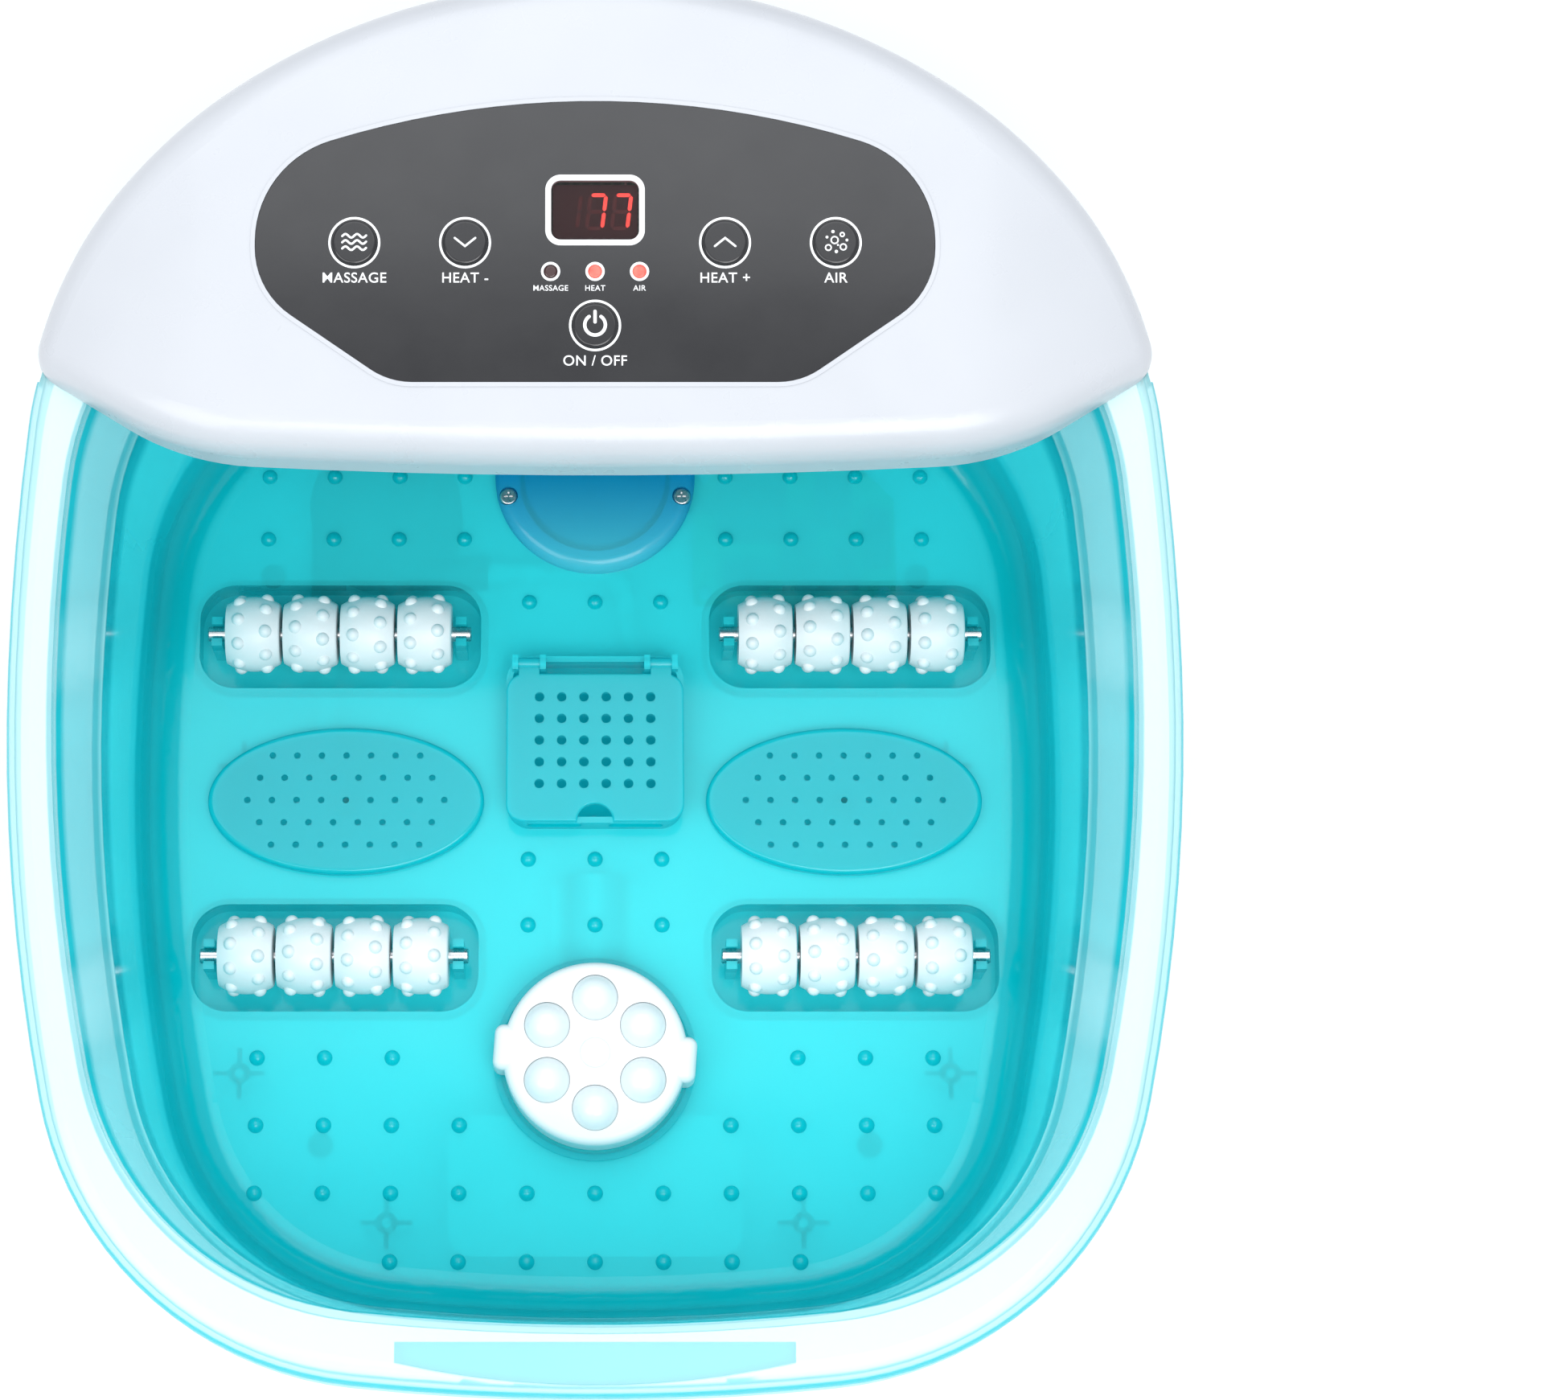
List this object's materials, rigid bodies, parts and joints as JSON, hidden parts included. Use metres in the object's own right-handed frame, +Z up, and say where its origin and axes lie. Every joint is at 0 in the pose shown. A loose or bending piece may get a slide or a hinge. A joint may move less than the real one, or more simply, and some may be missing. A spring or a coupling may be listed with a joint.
{
  "type": "foot spa basin",
  "caption": "Translucent foot spa basin with massage rollers, bubble plates, a ball massage head, a herb box and a white control hood with keys and a display.",
  "frame": {"origin": "on the surface it stands on, under the middle of its bounding box", "axes": "+X to the user's right, +Y away from the user towards the control hood, +Z up"},
  "size_m": [0.356, 0.426, 0.2083],
  "materials": {
    "tub_plastic": "clear cyan, polished",
    "lid_plastic": "clear cyan, polished",
    "white_casing": "fine satin",
    "hood_plastic": "soft gloss",
    "white_fittings": "satin",
    "white_balls": "polished",
    "grey_rubber": "matt",
    "panel_black": "high gloss",
    "key_black": "gloss with a printed symbol",
    "white_print": "gloss",
    "smoked_window": "smoked",
    "display_block": "matt with lit segments",
    "lamp_unlit": "clear dark",
    "lamp_lit": "lit red",
    "circuit_board": "solder mask",
    "board_parts": "moulded parts",
    "heater_metal": "cast",
    "motor_steel": "zinc plated",
    "weight_metal": "sintered",
    "screw_steel": "plated",
    "axle_steel": "ground",
    "black_plastic": "moulded",
    "fan_plastic": "moulded",
    "hose": "silicone",
    "sleeve": "sleeved wires",
    "blue_lens": "clear blue"
  },
  "bodies": {
    "basin": {"air_hoses": "hose", "air_plate_left": "tub_plastic", "air_plate_right": "tub_plastic", "base_pan": "white_casing", "base_screws": "screw_steel", "blower_housing": "black_plastic", "blower_motor": "motor_steel", "cable_duct_cover": "white_casing", "control_board": "circuit_board", "control_board_screws": "screw_steel", "control_harness": "sleeve", "control_panel": "panel_black", "cord_gland": "grey_rubber", "display_bezel": "white_print", "display_module": "display_block", "display_window": "smoked_window", "feet": "grey_rubber", "heater": "heater_metal", "herb_box": "tub_plastic", "hood_base": "hood_plastic", "hood_cover": "hood_plastic", "hood_screws": "screw_steel", "indicator_left": "lamp_unlit", "indicator_middle": "lamp_lit", "indicator_right": "lamp_lit", "lamp_board": "circuit_board", "lamp_cover": "blue_lens", "lamp_cover_screws": "screw_steel", "panel_rings": "white_print", "power_board": "circuit_board", "power_board_parts": "board_parts", "power_board_screws": "screw_steel", "roller_axle_front_left": "axle_steel", "roller_axle_front_right": "axle_steel", "roller_axle_rear_left": "axle_steel", "roller_axle_rear_right": "axle_steel", "tact_switches": "board_parts", "tub": "tub_plastic", "vibration_motor": "motor_steel"},
    "vibration_key": {"button_vibration": "key_black"},
    "temp_down_key": {"button_temp_down": "key_black"},
    "temp_up_key": {"button_temp_up": "key_black"},
    "bubble_key": {"button_bubble": "key_black"},
    "power_key": {"button_power": "key_black"},
    "roller_rear_left": {"roller_rear_left": "white_fittings"},
    "roller_rear_right": {"roller_rear_right": "white_fittings"},
    "roller_front_left": {"roller_front_left": "white_fittings"},
    "roller_front_right": {"roller_front_right": "white_fittings"},
    "massage_head": {"massage_disc": "white_fittings", "massage_disc_back": "white_fittings", "massage_disc_screws": "screw_steel"},
    "massage_ball_1": {"massage_ball_1": "white_balls"},
    "massage_ball_2": {"massage_ball_2": "white_balls"},
    "massage_ball_3": {"massage_ball_3": "white_balls"},
    "massage_ball_4": {"massage_ball_4": "white_balls"},
    "massage_ball_5": {"massage_ball_5": "white_balls"},
    "massage_ball_6": {"massage_ball_6": "white_balls"},
    "herb_lid": {"herb_box_lid": "lid_plastic"},
    "vibration_weight": {"eccentric_weight": "weight_metal"},
    "blower_fan": {"blower_impeller": "fan_plastic"}
  },
  "joints": [
    {"name": "vibration_press", "type": "slide", "parent": "basin", "child": "vibration_key", "axis": [0, 0.1564, -0.9877], "range_m": [0, 0.0012], "stiffness_N_per_m": 300, "springref_m": -0.002},
    {"name": "temp_down_press", "type": "slide", "parent": "basin", "child": "temp_down_key", "axis": [0, 0.1564, -0.9877], "range_m": [0, 0.0012], "stiffness_N_per_m": 300, "springref_m": -0.002},
    {"name": "temp_up_press", "type": "slide", "parent": "basin", "child": "temp_up_key", "axis": [0, 0.1564, -0.9877], "range_m": [0, 0.0012], "stiffness_N_per_m": 300, "springref_m": -0.002},
    {"name": "bubble_press", "type": "slide", "parent": "basin", "child": "bubble_key", "axis": [0, 0.1564, -0.9877], "range_m": [0, 0.0012], "stiffness_N_per_m": 300, "springref_m": -0.002},
    {"name": "power_press", "type": "slide", "parent": "basin", "child": "power_key", "axis": [0, 0.1564, -0.9877], "range_m": [0, 0.0012], "stiffness_N_per_m": 300, "springref_m": -0.002},
    {"name": "roller_rear_left_spin", "type": "hinge", "parent": "basin", "child": "roller_rear_left", "pos_m": [-0.086, 0.048, 0.043], "axis": [1, 0, 0], "continuous": true},
    {"name": "roller_rear_right_spin", "type": "hinge", "parent": "basin", "child": "roller_rear_right", "pos_m": [0.086, 0.048, 0.043], "axis": [1, 0, 0], "continuous": true},
    {"name": "roller_front_left_spin", "type": "hinge", "parent": "basin", "child": "roller_front_left", "pos_m": [-0.086, -0.062, 0.043], "axis": [1, 0, 0], "continuous": true},
    {"name": "roller_front_right_spin", "type": "hinge", "parent": "basin", "child": "roller_front_right", "pos_m": [0.086, -0.062, 0.043], "axis": [1, 0, 0], "continuous": true},
    {"name": "massage_head_lift", "type": "slide", "parent": "basin", "child": "massage_head", "axis": [0, 0, 1], "range_m": [0, 0.2]},
    {"name": "massage_ball_1_roll", "type": "hinge", "parent": "massage_head", "child": "massage_ball_1", "pos_m": [0, -0.078, 0.0527], "axis": [1, 0, 0], "continuous": true},
    {"name": "massage_ball_2_roll", "type": "hinge", "parent": "massage_head", "child": "massage_ball_2", "pos_m": [-0.01559, -0.087, 0.0527], "axis": [1, 0, 0], "continuous": true},
    {"name": "massage_ball_3_roll", "type": "hinge", "parent": "massage_head", "child": "massage_ball_3", "pos_m": [-0.01559, -0.105, 0.0527], "axis": [1, 0, 0], "continuous": true},
    {"name": "massage_ball_4_roll", "type": "hinge", "parent": "massage_head", "child": "massage_ball_4", "pos_m": [0, -0.114, 0.0527], "axis": [1, 0, 0], "continuous": true},
    {"name": "massage_ball_5_roll", "type": "hinge", "parent": "massage_head", "child": "massage_ball_5", "pos_m": [0.01559, -0.105, 0.0527], "axis": [1, 0, 0], "continuous": true},
    {"name": "massage_ball_6_roll", "type": "hinge", "parent": "massage_head", "child": "massage_ball_6", "pos_m": [0.01559, -0.087, 0.0527], "axis": [1, 0, 0], "continuous": true},
    {"name": "herb_lid_hinge", "type": "hinge", "parent": "basin", "child": "herb_lid", "pos_m": [0, 0.0355, 0.05155], "axis": [-1, 0, 0], "range_deg": [0, 100]},
    {"name": "vibration_spin", "type": "hinge", "parent": "basin", "child": "vibration_weight", "pos_m": [0, -0.072, 0.022], "axis": [0, 1, 0], "continuous": true},
    {"name": "blower_spin", "type": "hinge", "parent": "basin", "child": "blower_fan", "pos_m": [-0.072, 0.097, 0.02], "axis": [0, 0, 1], "continuous": true}
  ]
}
